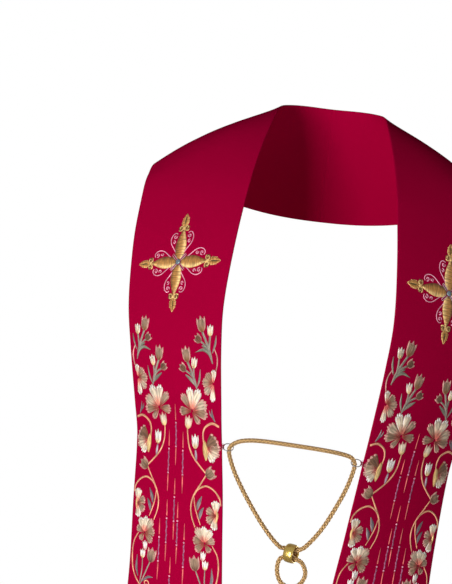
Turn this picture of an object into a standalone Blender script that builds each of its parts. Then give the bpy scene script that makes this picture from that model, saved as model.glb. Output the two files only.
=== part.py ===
"""A clerical stole as it is worn: two long bands of lined cloth, seamed at the nape, that pass over
the shoulders and hang down the front. A gold cord runs through a ring on the edge of each band and
through a slide at the front.

Metres, +Z up. The wearer faces -Y and their left is +X. The origin is the nape: the neck edge of the
centre-back seam, on the wearer's side of the cloth. Lengths in the tables are in centimetres.
"""

import math
from collections import namedtuple

import bmesh
import bpy
from mathutils import Matrix, Vector

CM = 0.01
MM = 0.001

# The wall is face fabric, interlining and backing together; pieces that meet stay GAP apart.
WALL = 2.0 * MM
GAP = 0.3 * MM
COLUMNS = 10
ROW_STEP = 2.8 * CM
YOKE_STEP = 1.5 * CM
YOKE_END = 30 * CM

CROSS_ALONG = 37.0 * CM
CROSS_TURN = math.radians(-0.65)
CROSS_BASE = 0.4 * MM

CORD_DIAMETER = 5.8 * MM
CORD_STEP = 9 * MM

RING_ALONG = 59.6 * CM
RING_RADIUS = 6.5 * MM
RING_WIRE = 1.2 * MM
RING_PITCH = math.radians(42)

SLIDE_CENTRE = Vector((1.30, -21.0, -57.8)) * CM
SLIDE_WIDTH = 12.5 * MM
SLIDE_TURN = math.radians(24)
SLIDE_LEAN = math.radians(6.8)
STRAND_RISE = 4.7 * MM
STRAND_DEPTH = 3.2 * MM

# Each section of a band runs from its neck edge to its outer edge, and its bow is how far the middle
# stands out from the straight line between them. The rows are those of the wearer's left band.
Section = namedtuple("Section", "place nx ny nz ox oy oz bow")
SECTIONS = (
    Section("nape seam", 0.0, 0.0, 0.0, 0.0, 3.4, -15.0, 0.5),
    Section("back", 3.8, -0.9, -0.1, 7.6, 3.3, -14.6, 0.6),
    Section("blade", 6.1, -2.9, -0.6, 14.6, 2.4, -13.2, 0.8),
    Section("yoke", 6.9, -4.5, -1.2, 19.4, -0.2, -11.3, 1.0),
    Section("shoulder top", 7.15, -6.2, -2.1, 22.3, -3.7, -10.4, 0.9),
    Section("collar", 7.75, -8.7, -4.4, 23.1, -5.7, -12.3, 0.9),
    Section("collar bone", 8.6, -11.6, -8.2, 23.4, -7.0, -15.2, 0.7),
    Section("upper chest", 9.35, -14.2, -13.0, 23.6, -7.9, -18.4, 0.5),
    Section("cross", 10.15, -16.8, -20.8, 23.6, -8.7, -23.0, 0.4),
    Section("chest", 10.55, -18.2, -28.4, 23.2, -9.1, -29.6, 0.4),
    Section("under chest", 10.15, -18.8, -34.2, 22.3, -9.2, -34.8, 0.4),
    Section("waist", 9.25, -18.9, -41.5, 20.9, -9.3, -41.7, 0.4),
    Section("ring", 8.7, -18.9, -46.0, 20.0, -9.6, -46.1, 0.4),
    Section("belly", 7.6, -18.9, -54.5, 19.35, -10.2, -54.5, 0.5),
    Section("hip", 6.4, -18.9, -65.0, 18.85, -11.0, -65.0, 0.6),
    Section("thigh", 5.6, -19.2, -82.0, 18.7, -12.6, -82.0, 0.7),
    Section("knee", 5.4, -19.7, -102.0, 19.0, -14.2, -102.0, 0.7),
    Section("hem", 5.5, -20.2, -122.0, 19.4, -15.4, -122.0, 0.6),
)

# Half an arm of the padded cross, from its centre outwards; the rise is in millimetres.
Station = namedtuple("Station", "place reach half_width rise")
ARM = (
    Station("centre", 0.0, 0.26, 0.9),
    Station("petal root", 0.4, 0.28, 0.9),
    Station("petal shoulder", 1.3, 0.66, 1.2),
    Station("petal middle", 2.2, 0.82, 1.3),
    Station("petal fall", 3.2, 0.56, 1.1),
    Station("petal point", 4.05, 0.15, 0.7),
    Station("scrolls", 4.4, 0.46, 0.8),
    Station("neck", 4.75, 0.17, 0.7),
    Station("tip leaf", 5.4, 0.46, 1.0),
    Station("tip shoulder", 5.95, 0.3, 0.8),
    Station("tip", 6.45, 0.07, 0.4),
)

# The cord outside the slide: over both rings, and then the loop under the slide.
Place = namedtuple("Place", "place x y z")
OVER_RINGS = (
    Place("right of the slide", 2.85, -21.2, -56.85),
    Place("lower right", 4.54, -20.6, -54.67),
    Place("right diagonal", 5.9, -20.25, -52.05),
    Place("upper right", 7.05, -19.8, -49.35),
    Place("under the right ring", 7.7, -19.25, -47.1),
    Place("in the right ring", 7.78, -19.02, -46.14),
    Place("over the right ring", 7.38, -19.34, -45.48),
    Place("bend on the right", 6.5, -19.6, -45.18),
    Place("top strand, right", 4.4, -20.1, -44.93),
    Place("top strand, middle", 0.3, -20.5, -44.75),
    Place("top strand, left", -4.2, -20.3, -44.7),
    Place("bend on the left", -6.3, -19.65, -44.98),
    Place("over the left ring", -7.38, -19.32, -45.52),
    Place("in the left ring", -7.78, -19.02, -46.12),
    Place("under the left ring", -7.64, -19.25, -47.0),
    Place("upper left", -6.66, -19.75, -49.1),
    Place("left diagonal", -4.56, -20.2, -52.3),
    Place("lower left", -2.05, -20.6, -55.45),
    Place("left of the slide", -0.15, -20.8, -57.2),
)
LOOP = (
    Place("loop, upper right", 2.75, -21.3, -58.8),
    Place("loop, right", 3.3, -21.15, -60.1),
    Place("loop, lower right", 2.75, -20.95, -61.4),
    Place("loop, foot", 1.6, -20.85, -61.9),
    Place("loop, lower left", 0.45, -20.8, -61.45),
    Place("loop, left", -0.15, -20.75, -60.2),
    Place("loop, upper left", -0.05, -20.75, -58.75),
)


def slopes_of(knots, values):
    """The slope of a smooth curve at each of its points."""
    last = len(values) - 1
    ends = [(max(j - 1, 0), min(j + 1, last)) for j in range(last + 1)]
    return [(values[high] - values[low]) / (knots[high] - knots[low]) for low, high in ends]


def fitted(knots, values, slopes, at):
    """The value at a distance along a smooth curve through the given values."""
    i = min(max(sum(k <= at for k in knots) - 1, 0), len(knots) - 2)
    span = knots[i + 1] - knots[i]
    f = (at - knots[i]) / span
    rise = f * f * (3 - 2 * f)
    leaving = f * (1 - f) ** 2 * span
    arriving = f * f * (f - 1) * span
    return values[i].lerp(values[i + 1], rise) + slopes[i] * leaving + slopes[i + 1] * arriving


def distances(points):
    """How far along the line through the points each of them is."""
    total = [0.0]
    for before, after in zip(points, points[1:]):
        total.append(total[-1] + (after - before).length)
    return total


NECK_EDGE = [Vector((s.nx, s.ny, s.nz)) * CM for s in SECTIONS]
OUTER_EDGE = [Vector((s.ox, s.oy, s.oz)) * CM for s in SECTIONS]
BOWS = [Vector((s.bow, 0, 0)) * CM for s in SECTIONS]
ALONG = distances([n.lerp(o, 0.5) for n, o in zip(NECK_EDGE, OUTER_EDGE)])
BAND_LENGTH = ALONG[-1]
NECK_SLOPES, OUTER_SLOPES, BOW_SLOPES = (slopes_of(ALONG, v) for v in (NECK_EDGE, OUTER_EDGE, BOWS))
# The two bands are mirror images that run into each other at the nape, so there only x changes.
for slopes in (NECK_SLOPES, OUTER_SLOPES):
    slopes[0] = Vector((slopes[0].x, 0, 0))
BOW_SLOPES[0] = Vector((0, 0, 0))


def section_ends(along):
    """The neck edge and the outer edge of the left band at a distance from the nape."""
    neck = fitted(ALONG, NECK_EDGE, NECK_SLOPES, along)
    outer = fitted(ALONG, OUTER_EDGE, OUTER_SLOPES, along)
    return neck, outer


def inside_point(along, across):
    """A point on the wearer's side of the left band; across is 0 at the neck edge and 1 outside."""
    neck, outer = section_ends(along)
    low, high = max(along - MM, 0), min(along + MM, BAND_LENGTH)
    down = sum(section_ends(high), Vector()) - sum(section_ends(low), Vector())
    out = down.cross(outer - neck).normalized()
    bow = fitted(ALONG, BOWS, BOW_SLOPES, along).x
    return neck.lerp(outer, across) + out * bow * 4 * across * (1 - across)


def outward(along, across):
    """The unit normal of the left band there, away from the wearer."""
    along = min(max(along, MM), BAND_LENGTH - MM)
    across = min(max(across, 0.01), 0.99)
    down = inside_point(along + MM, across) - inside_point(along - MM, across)
    wide = inside_point(along, across + 0.01) - inside_point(along, across - 0.01)
    return down.cross(wide).normalized()


def on_band(side, along, across, lift):
    """A point of a band, lift out from the wearer's side of it; side is 1 left and -1 right."""
    point = inside_point(along, across) + outward(along, across) * lift
    return Vector((side * (point.x + GAP / 2), point.y, point.z))


def near_cross(side, down, out, lift):
    """A point over a band, down and out from the centre of its cross, lift above the cloth's face."""
    along = CROSS_ALONG + down * math.cos(CROSS_TURN) + out * math.sin(CROSS_TURN)
    neck, outer = section_ends(along)
    away = out * math.cos(CROSS_TURN) - down * math.sin(CROSS_TURN)
    return on_band(side, along, 0.5 + away / (outer - neck).length, WALL + lift)


def band_rows():
    """The distances from the nape of the rows of points along a band, closer together on the yoke."""
    rows = [0.0]
    for start, end in zip(ALONG, ALONG[1:]):
        step = YOKE_STEP if end < YOKE_END else ROW_STEP
        count = max(1, round((end - start) / step))
        rows += [start + (end - start) * (i + 1) / count for i in range(count)]
    return rows


def collection_named(name):
    found = bpy.data.collections.new(name)
    bpy.context.scene.collection.children.link(found)
    return found


def material(name, colour, roughness, metallic=0.0):
    made = bpy.data.materials.new(name)
    made.use_nodes = True
    shader = made.node_tree.nodes["Principled BSDF"]
    shader.inputs["Base Color"].default_value = (*colour, 1.0)
    shader.inputs["Roughness"].default_value = roughness
    shader.inputs["Metallic"].default_value = metallic
    return made


def add(name, data, collection, look):
    """A named object of its own in the collection, smooth but for its sharp edges."""
    obj = bpy.data.objects.new(name, data)
    collection.objects.link(obj)
    data.materials.append(look)
    if obj.type == "MESH":
        data.shade_smooth()
        data.set_sharp_from_angle(angle=math.radians(50))
    return obj


def slab(name, rows, columns, place):
    """A closed wall: a flat grid extruded once, and each point then put in its place.

    place takes the row, from 0 to rows, how far across it is, from 0 to 1, and whether the point is
    on the outer face."""
    bm = bmesh.new()
    bmesh.ops.create_grid(bm, x_segments=rows, y_segments=columns, size=0.5)
    made = bmesh.ops.extrude_face_region(bm, geom=bm.faces[:], use_keep_orig=True)
    outer_face = {v for v in made["geom"] if isinstance(v, bmesh.types.BMVert)}
    for vert in bm.verts:
        row, across = round((vert.co.x + 0.5) * rows), vert.co.y + 0.5
        vert.co = place(row, across, vert in outer_face)
    bmesh.ops.recalc_face_normals(bm, faces=bm.faces)
    mesh = bpy.data.meshes.new(name)
    bm.to_mesh(mesh)
    bm.free()
    return mesh


def build_band(side, name, collection, look):
    rows = band_rows()

    def place(row, across, outer_face):
        return on_band(side, rows[row], across, WALL if outer_face else 0.0)

    return add(name, slab(name, len(rows) - 1, COLUMNS, place), collection, look)


def arm_stations():
    """Stations along a whole bar of the cross, tip to tip, two to each step of the table."""
    reaches = [s.reach for s in ARM]
    halves = [reaches[0]]
    for start, end in zip(reaches, reaches[1:]):
        halves += [(start + end) / 2, end]
    return [-r for r in reversed(halves[1:])] + halves


def build_bar(name, side, lengthwise, base, collection, look):
    """One bar of the cross, domed across its width, over the points of the band beneath it."""
    stations = arm_stations()
    reaches = [s.reach for s in ARM]
    shape = [Vector((s.half_width * CM, s.rise * MM, 0)) for s in ARM]
    slopes = slopes_of(reaches, shape)
    slopes[0] = Vector((0, 0, 0))

    def place(row, across, outer_face):
        reach = stations[row]
        half_width, rise, _ = fitted(reaches, shape, slopes, abs(reach))
        off = 2 * across - 1
        lift = GAP + (CROSS_BASE + rise * (1 - off * off) if outer_face else base)
        down, out = (reach * CM, off * half_width) if lengthwise else (off * half_width, reach * CM)
        return near_cross(side, down, out, lift)

    return add(name, slab(name, len(stations) - 1, 4, place), collection, look)


def build_cross(side, name, collection, cutters, look):
    """The cross is its two bars as one solid; the second bar's underside is kept inside the first."""
    cross = build_bar(name, side, True, 0.0, collection, look)
    bar = build_bar(name + "_bar", side, False, 0.12 * MM, cutters, look)
    bar.hide_render = True
    bar.display_type = "WIRE"
    joined = cross.modifiers.new("joined bars", "BOOLEAN")
    joined.operation = "UNION"
    joined.solver = "EXACT"
    joined.object = bar
    return cross


def build_ring(side, name, collection, look):
    """A wire ring stitched to the neck edge of a band, tipped so that the cord runs through it."""
    edge = on_band(side, RING_ALONG, 0.0, 0.0)
    reach = RING_RADIUS + RING_WIRE / 2 + GAP
    bpy.ops.mesh.primitive_torus_add(
        major_segments=28,
        minor_segments=8,
        major_radius=RING_RADIUS,
        minor_radius=RING_WIRE / 2,
        location=edge + Vector((-side * reach, -WALL / 2, 0)),
        rotation=(RING_PITCH, 0, 0),
    )
    ring = bpy.context.object
    ring.name = ring.data.name = name
    ring.users_collection[0].objects.unlink(ring)
    collection.objects.link(ring)
    ring.data.materials.append(look)
    ring.data.shade_smooth()
    return ring


def slide_axes():
    """The slide's own directions: along its bore to the right, up, and to the back."""
    turn = Matrix.Rotation(SLIDE_LEAN, 3, "Y") @ Matrix.Rotation(-SLIDE_TURN, 3, "Z")
    return turn @ Vector((1, 0, 0)), turn @ Vector((0, 0, 1)), turn @ Vector((0, 1, 0))


def build_slide(name, collection, look):
    """A short barrel with an open bore, turned so that its right mouth shows from the front."""
    half = SLIDE_WIDTH / 2
    outer = ((9.8, 1), (10.7, 0.84), (11.4, 0.5), (11.7, 0), (11.4, -0.5), (10.7, -0.84), (9.8, -1))
    bore = ((9.3, -1), (8.3, -0.85), (8.3, 0.85), (9.3, 1))
    bm = bmesh.new()
    ring = [bm.verts.new((radius * MM, 0, share * half)) for radius, share in outer + bore]
    for start, end in zip(ring, ring[1:] + ring[:1]):
        bm.edges.new((start, end))
    mesh = bpy.data.meshes.new(name)
    bm.to_mesh(mesh)
    bm.free()
    slide = bpy.data.objects.new(name, mesh)
    collection.objects.link(slide)
    mesh.materials.append(look)
    turned = slide.modifiers.new("turned", "SCREW")
    turned.axis = "Z"
    turned.angle = math.tau
    turned.steps = turned.render_steps = 32
    turned.use_merge_vertices = True
    turned.merge_threshold = 0.00001
    along, up, back = slide_axes()
    slide.rotation_euler = Matrix((back, up, along)).transposed().to_euler()
    slide.location = SLIDE_CENTRE
    return slide


def in_slide(share, rise):
    """A point of a strand in the bore: share runs from -1 at the left mouth to 1 at the right one.

    One strand rises to the right behind the other, which falls to the right: rise is 1 or -1."""
    along, up, back = slide_axes()
    offset = up * STRAND_RISE * share + back * STRAND_DEPTH * (1 - share * share)
    return SLIDE_CENTRE + along * share * SLIDE_WIDTH / 2 + offset * rise


def cord_route():
    """The cord's way from the middle of the bore, over both rings, round the loop and back again."""
    upper = [Vector((p.x, p.y, p.z)) * CM for p in OVER_RINGS]
    lower = [Vector((p.x, p.y, p.z)) * CM for p in LOOP]
    leaving = [in_slide(s, 1) for s in (0.04, 0.5, 1.0)]
    crossing = [in_slide(s, -1) for s in (-1.0, -0.5, 0.0, 0.5, 1.0)]
    arriving = [in_slide(s, 1) for s in (-1.0, -0.5, -0.04)]
    return leaving + upper + crossing + lower + arriving


def cord_points():
    """Points a short step apart on a smooth curve through the cord's route."""
    route = cord_route()
    knots = distances(route)
    slopes = slopes_of(knots, route)
    points = [route[0]]
    for start, end in zip(knots, knots[1:]):
        count = max(1, round((end - start) / CORD_STEP))
        steps = [start + (end - start) * (i + 1) / count for i in range(count)]
        points += [fitted(knots, route, slopes, at) for at in steps]
    return points


def build_cord(name, collection, look):
    points = cord_points()
    curve = bpy.data.curves.new(name, "CURVE")
    curve.dimensions = "3D"
    curve.bevel_depth = CORD_DIAMETER / 2
    curve.bevel_resolution = 2
    curve.use_fill_caps = True
    line = curve.splines.new("POLY")
    line.points.add(len(points) - 1)
    for spot, point in zip(line.points, points):
        spot.co = (*point, 1)
    return add(name, curve, collection, look)


def main():
    for obj in list(bpy.data.objects):
        bpy.data.objects.remove(obj)
    parts = collection_named("clerical_stole")
    cutters = collection_named("cutters")
    sides = {"right": -1, "left": 1}
    for word, side in sides.items():
        cloth = material("cloth_" + word, (0.36, 0.004, 0.032), 0.62)
        gold = material("cross_gold_" + word, (0.52, 0.31, 0.09), 0.4, 0.6)
        silver = material("ring_silver_" + word, (0.75, 0.74, 0.72), 0.25, 1.0)
        build_band(side, "band_" + word, parts, cloth)
        build_cross(side, "cross_" + word, parts, cutters, gold)
        build_ring(side, "ring_" + word, parts, silver)
    build_slide("slide", parts, material("slide_gold", (0.68, 0.47, 0.13), 0.3, 0.9))
    build_cord("cord", parts, material("cord_gold", (0.5, 0.31, 0.12), 0.5, 0.5))


if __name__ == "__main__":
    main()
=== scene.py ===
"""The looks of a clerical stole as it is worn: crimson bands with padded gold crosses, silk flowers
worked down each band, and a braided gold cord that runs through two wire rings and a slide.

Metres, +Z up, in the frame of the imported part: its front faces -Y, and the left band hangs on the
+X side. Lengths in the tables are in centimetres. The sections of the bands and the route of the
cord are those of the part, so every piece lies where its solid is.
"""

import math
import random
from collections import namedtuple

import bmesh
import bpy
from bpy.props import FloatProperty, FloatVectorProperty, IntProperty, PointerProperty
from mathutils import Matrix, Vector


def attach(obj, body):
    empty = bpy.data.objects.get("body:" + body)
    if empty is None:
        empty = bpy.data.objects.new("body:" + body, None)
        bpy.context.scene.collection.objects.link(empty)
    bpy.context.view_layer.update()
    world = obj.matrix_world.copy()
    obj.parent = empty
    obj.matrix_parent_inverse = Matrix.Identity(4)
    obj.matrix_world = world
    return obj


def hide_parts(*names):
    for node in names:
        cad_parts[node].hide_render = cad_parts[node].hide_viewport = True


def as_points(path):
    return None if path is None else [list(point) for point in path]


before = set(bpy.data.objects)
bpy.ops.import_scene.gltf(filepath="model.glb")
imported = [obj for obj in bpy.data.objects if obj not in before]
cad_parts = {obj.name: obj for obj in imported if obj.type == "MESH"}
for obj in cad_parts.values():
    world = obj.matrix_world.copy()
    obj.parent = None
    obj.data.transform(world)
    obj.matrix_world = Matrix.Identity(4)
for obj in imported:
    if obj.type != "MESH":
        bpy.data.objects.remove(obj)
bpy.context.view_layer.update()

bl_info = {
    "name": "Clerical Stole",
    "version": (1, 0, 0),
    "blender": (4, 5, 0),
    "location": "View3D > Sidebar > Stole",
    "description": "Cloth bands, crosses, flowers, rings, slide and cord of a clerical stole",
    "category": "Object",
}

CM = 0.01
MM = 0.001
WELD = 0.002 * MM
SHARP = 1.2

# Shared with the part.
WALL = 2.0 * MM
GAP = 0.3 * MM
SEAM_OVERLAP = 0.8 * MM
SEAM_REACH = 4.0 * MM
CLOTH_WIDTH = 0.155
CROSS_ALONG = 37.0 * CM
CROSS_TURN = math.radians(-0.65)
RING_ALONG = 59.6 * CM
RING_RADIUS = 6.5 * MM
RING_WIRE = 1.2 * MM
RING_PITCH = math.radians(42)
SLIDE_CENTRE = Vector((1.30, -21.0, -57.8)) * CM
SLIDE_WIDTH = 12.5 * MM
SLIDE_TURN = math.radians(24)
SLIDE_LEAN = math.radians(6.8)
SLIDE_RADIUS = 10.0 * MM
SLIDE_WALL = 1.7 * MM
STRAND_RISE = 4.7 * MM
STRAND_DEPTH = 3.2 * MM
STRAND_WIDTH = 0.4

# Each section of a band runs from its neck edge to its outer edge, and its bow is how far the
# middle stands out from the straight line between them. The rows are those of the left band.
Section = namedtuple("Section", "place nx ny nz ox oy oz bow")
SECTIONS = (
    Section("nape seam", 0.0, 0.0, 0.0, 0.0, 3.4, -15.0, 0.5),
    Section("back", 3.8, -0.9, -0.1, 7.6, 3.3, -14.6, 0.6),
    Section("blade", 6.1, -2.9, -0.6, 14.6, 2.4, -13.2, 0.8),
    Section("yoke", 6.9, -4.5, -1.2, 19.4, -0.2, -11.3, 1.0),
    Section("shoulder top", 7.15, -6.2, -2.1, 22.3, -3.7, -10.4, 0.9),
    Section("front of the shoulder", 7.75, -8.7, -4.4, 23.1, -5.7, -12.3, 0.9),
    Section("under the shoulder", 8.6, -11.6, -8.2, 23.4, -7.0, -15.2, 0.7),
    Section("upper chest", 9.35, -14.2, -13.0, 23.6, -7.9, -18.4, 0.5),
    Section("cross", 10.15, -16.8, -20.8, 23.6, -8.7, -23.0, 0.4),
    Section("chest", 10.55, -18.2, -28.4, 23.2, -9.1, -29.6, 0.4),
    Section("under chest", 10.15, -18.8, -34.2, 22.3, -9.2, -34.8, 0.4),
    Section("waist", 9.25, -18.9, -41.5, 20.9, -9.3, -41.7, 0.4),
    Section("ring", 8.7, -18.9, -46.0, 20.0, -9.6, -46.1, 0.4),
    Section("belly", 7.6, -18.9, -54.5, 19.35, -10.2, -54.5, 0.5),
    Section("hip", 6.4, -18.9, -65.0, 18.85, -11.0, -65.0, 0.6),
    Section("thigh", 5.6, -19.2, -82.0, 18.7, -12.6, -82.0, 0.7),
    Section("knee", 5.4, -19.7, -102.0, 19.0, -14.2, -102.0, 0.7),
    Section("hem", 5.5, -20.2, -122.0, 19.4, -15.4, -122.0, 0.6),
)

# The cord outside the slide: over both rings, and then the loop under the slide.
Place = namedtuple("Place", "place x y z")
OVER_RINGS = (
    Place("right of the slide", 2.85, -21.2, -56.85),
    Place("lower right", 4.54, -20.6, -54.67),
    Place("right diagonal", 5.9, -20.25, -52.05),
    Place("upper right", 7.05, -19.8, -49.35),
    Place("under the right ring", 7.7, -19.25, -47.1),
    Place("in the right ring", 7.78, -19.02, -46.14),
    Place("over the right ring", 7.38, -19.34, -45.48),
    Place("bend on the right", 6.5, -19.6, -45.18),
    Place("top strand, right", 4.4, -20.1, -44.93),
    Place("top strand, middle", 0.3, -20.5, -44.75),
    Place("top strand, left", -4.2, -20.3, -44.7),
    Place("bend on the left", -6.3, -19.65, -44.98),
    Place("over the left ring", -7.38, -19.32, -45.52),
    Place("in the left ring", -7.78, -19.02, -46.12),
    Place("under the left ring", -7.64, -19.25, -47.0),
    Place("upper left", -6.66, -19.75, -49.1),
    Place("left diagonal", -4.56, -20.2, -52.3),
    Place("lower left", -2.05, -20.6, -55.45),
    Place("left of the slide", -0.15, -20.8, -57.2),
)
LOOP = (
    Place("loop, upper right", 2.75, -21.3, -58.8),
    Place("loop, right", 3.3, -21.15, -60.1),
    Place("loop, lower right", 2.75, -20.95, -61.4),
    Place("loop, foot", 1.6, -20.85, -61.9),
    Place("loop, lower left", 0.45, -20.8, -61.45),
    Place("loop, left", -0.15, -20.75, -60.2),
    Place("loop, upper left", -0.05, -20.75, -58.75),
)


# ---------------------------------------------------------------- settings


def a_length(name, description, default):
    return FloatProperty(name=name, description=description, default=default, unit="LENGTH")


def a_power(name, description, default):
    return FloatProperty(name=name, description=description, default=default, unit="POWER")


def a_colour(name, description, default):
    return FloatVectorProperty(
        name=name, description=description, default=default, subtype="COLOR"
    )


class StoleClothSettings(bpy.types.PropertyGroup):
    wall: a_length("Wall", "Thickness of the lined cloth", WALL)
    edge: a_length("Edge", "Roundness of the turned edges", 0.8 * MM)
    crease: a_length("Crease", "Height of the soft swells in the cloth", 1.0 * MM)
    crimson: a_colour("Crimson", "Colour of the bands", (0.385, 0.0004, 0.036))


class StoleCordSettings(bpy.types.PropertyGroup):
    diameter: a_length("Diameter", "Thickness of the braided cord", 5.8 * MM)
    pitch: a_length("Pitch", "Length of one turn of a strand", 20.5 * MM)
    strands: IntProperty(
        name="Strands", description="Strands that turn each way", default=4, min=2, max=8
    )
    gold: a_colour("Cord gold", "Colour of the cord's thread", (0.85, 0.52, 0.21))


class StoleMetalSettings(bpy.types.PropertyGroup):
    silver: a_colour("Ring silver", "Colour of the wire rings", (0.34, 0.32, 0.31))
    gold: a_colour("Slide gold", "Colour of the slide", (0.80, 0.55, 0.14))


class StoleThreadSettings(bpy.types.PropertyGroup):
    gold: a_colour("Gold", "Gold of the crosses and the buds' bases", (0.54, 0.25, 0.065))
    straw: a_colour("Straw", "Pale gold of lit edges and scrolls", (0.88, 0.60, 0.24))
    bronze: a_colour("Bronze", "Dark gold of shaded edges", (0.24, 0.10, 0.028))
    vein: a_colour("Vein", "Vein of the cross's tip leaves", (0.10, 0.065, 0.015))
    pink: a_colour("Pink", "Filigree and knots", (0.94, 0.42, 0.58))
    mist: a_colour("Mist", "Grey lines between the arms", (0.60, 0.52, 0.58))
    white: a_colour("White", "Tips of the white petals", (0.98, 0.92, 0.85))
    cream: a_colour("Cream", "White petals and buds", (0.92, 0.76, 0.56))
    taupe: a_colour("Taupe", "Brown petals and tulips", (0.34, 0.205, 0.128))
    umber: a_colour("Umber", "Round buds", (0.17, 0.075, 0.04))
    rust: a_colour("Rust", "Roots of the brown petals", (0.33, 0.05, 0.035))
    blush: a_colour("Blush", "Pink rims and thin stems", (0.76, 0.40, 0.34))
    coral: a_colour("Coral", "Rays and broken lines", (0.84, 0.17, 0.15))
    peach: a_colour("Peach", "Vines and curls", (0.88, 0.43, 0.24))
    purple: a_colour("Purple", "Middle of the broken lines", (0.40, 0.12, 0.24))
    stem: a_colour("Stem", "Thick stems", (0.34, 0.29, 0.235))
    leaf: a_colour("Leaf", "Heart of the leaves", (0.25, 0.26, 0.19))
    fog: a_colour("Fog", "Light rim of the leaves", (0.45, 0.39, 0.36))
    slate: a_colour("Slate", "Dark leaves", (0.22, 0.18, 0.20))
    night: a_colour("Night", "Dark rim of the leaves", (0.055, 0.035, 0.045))


class StoleStageSettings(bpy.types.PropertyGroup):
    floor: a_colour("Floor", "Colour of the floor", (0.85, 0.85, 0.84))
    key: a_power("Key light", "Power of the main light", 71.0)
    fill: a_power("Fill light", "Power of each side light", 15.0)


# ---------------------------------------------------------------- finishes


class Value:
    """A socket of a finish. A sum on it adds Math nodes."""

    def __init__(self, finish, socket):
        self.finish = finish
        self.socket = socket

    def maths(self, operation, *terms):
        return self.finish.node("Math", {"operation": operation}, dict(enumerate(terms)))

    def __add__(self, other):
        return self.maths("ADD", self, other)

    def __radd__(self, other):
        return self.maths("ADD", other, self)

    def __sub__(self, other):
        return self.maths("SUBTRACT", self, other)

    def __rsub__(self, other):
        return self.maths("SUBTRACT", other, self)

    def __mul__(self, other):
        return self.maths("MULTIPLY", self, other)

    def __rmul__(self, other):
        return self.maths("MULTIPLY", other, self)

    def wave(self, length):
        """0 to 1 and back over each length."""
        return self.maths("SINE", self * (math.tau / length)) * 0.5 + 0.5

    def within(self, low, high):
        """Brought into 0 to 1 between two levels."""
        sockets = {0: self, 1: low, 2: high, 3: 0.0, 4: 1.0}
        return self.finish.node("MapRange", {"interpolation_type": "SMOOTHSTEP"}, sockets)


class Finish:
    """A material and the nodes that make it."""

    def __init__(self, name):
        self.material = bpy.data.materials.new(name)
        self.material.use_nodes = True
        self.tree = self.material.node_tree
        self.shader = self.tree.nodes["Principled BSDF"]

    def feed(self, socket, value):
        """Links a Value to a socket, or sets the socket to a number, colour or vector."""
        if isinstance(value, Value):
            self.tree.links.new(value.socket, socket)
        elif isinstance(value, (int, float)):
            socket.default_value = value
        else:
            value = tuple(value)
            socket.default_value = value + (1.0,) * (len(socket.default_value) - len(value))

    def node(self, kind, settings=None, sockets=None, output=0):
        """Adds a node, sets its settings and then its sockets, and gives one of its outputs."""
        made = self.tree.nodes.new("ShaderNode" + kind)
        for word, value in (settings or {}).items():
            setattr(made, word, value)
        for key, value in (sockets or {}).items():
            self.feed(made.inputs[key], value)
        return Value(self, made.outputs[output])

    def mixed(self, share, first, second):
        """One colour into another by a share."""
        return self.node("Mix", {"data_type": "RGBA"}, {0: share, 6: first, 7: second}, 2)

    def shaded(self, colour, amount):
        """A colour made lighter or darker by an amount that varies."""
        return self.node("VectorMath", {"operation": "SCALE"}, {0: colour, 3: amount})

    def place(self):
        """Object coordinates, in metres."""
        return self.node("TexCoord", output=3)

    def layout(self, name):
        """Along and across a piece's own UV map, in metres."""
        spread = self.node("UVMap", {"uv_map": name})
        return [self.node("SeparateXYZ", None, {0: spread}, axis) for axis in (0, 1)]

    def noise(self, vector, scale=1.0, detail=1.0):
        return self.node("TexNoise", None, {"Vector": vector, "Scale": scale, "Detail": detail})

    def stretched(self, vector, scale):
        """Coordinates drawn out by a scale for each direction."""
        return self.node("Mapping", None, {"Vector": vector, "Scale": scale})

    def bump(self, height, distance, strength):
        """Lets a height, of up to the distance in metres, tilt the surface."""
        sockets = {"Strength": strength, "Distance": distance, "Height": height}
        self.feed(self.shader.inputs["Normal"], self.node("Bump", None, sockets))

    def set(self, **sockets):
        """Sets the shader's sockets; the words of a socket's name are joined with underscores."""
        for word, value in sockets.items():
            self.feed(self.shader.inputs[word.replace("_", " ")], value)


def toned(colour, amount):
    """A colour made lighter or darker all over."""
    return [part * amount for part in colour]


def cloth_finish():
    """A close, smooth crimson weave with faint slubs across it and hardly any gloss."""
    finish = Finish("crimson_cloth")
    settings = bpy.context.scene.stole_cloth
    along, across = finish.layout("cloth")
    weave = along.wave(0.9 * MM) * across.wave(0.9 * MM)
    spread = finish.node("UVMap", {"uv_map": "cloth"})
    slubs = finish.noise(finish.stretched(spread, (900.0, 45.0, 1.0)), detail=3.0)
    cloudy = finish.noise(finish.place(), scale=9.0, detail=2.0)
    depth = 0.93 + 0.06 * slubs + 0.05 * cloudy + 0.03 * weave
    finish.set(
        Base_Color=finish.shaded(settings.crimson, depth),
        Roughness=0.72 + 0.12 * slubs,
        Specular_IOR_Level=0.0,
        Sheen_Weight=0.02,
        Sheen_Roughness=0.45,
        Sheen_Tint=(0.9, 0.02, 0.15),
    )
    finish.bump(weave * 0.5 + slubs, distance=0.1 * MM, strength=0.6)
    return finish.material


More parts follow.
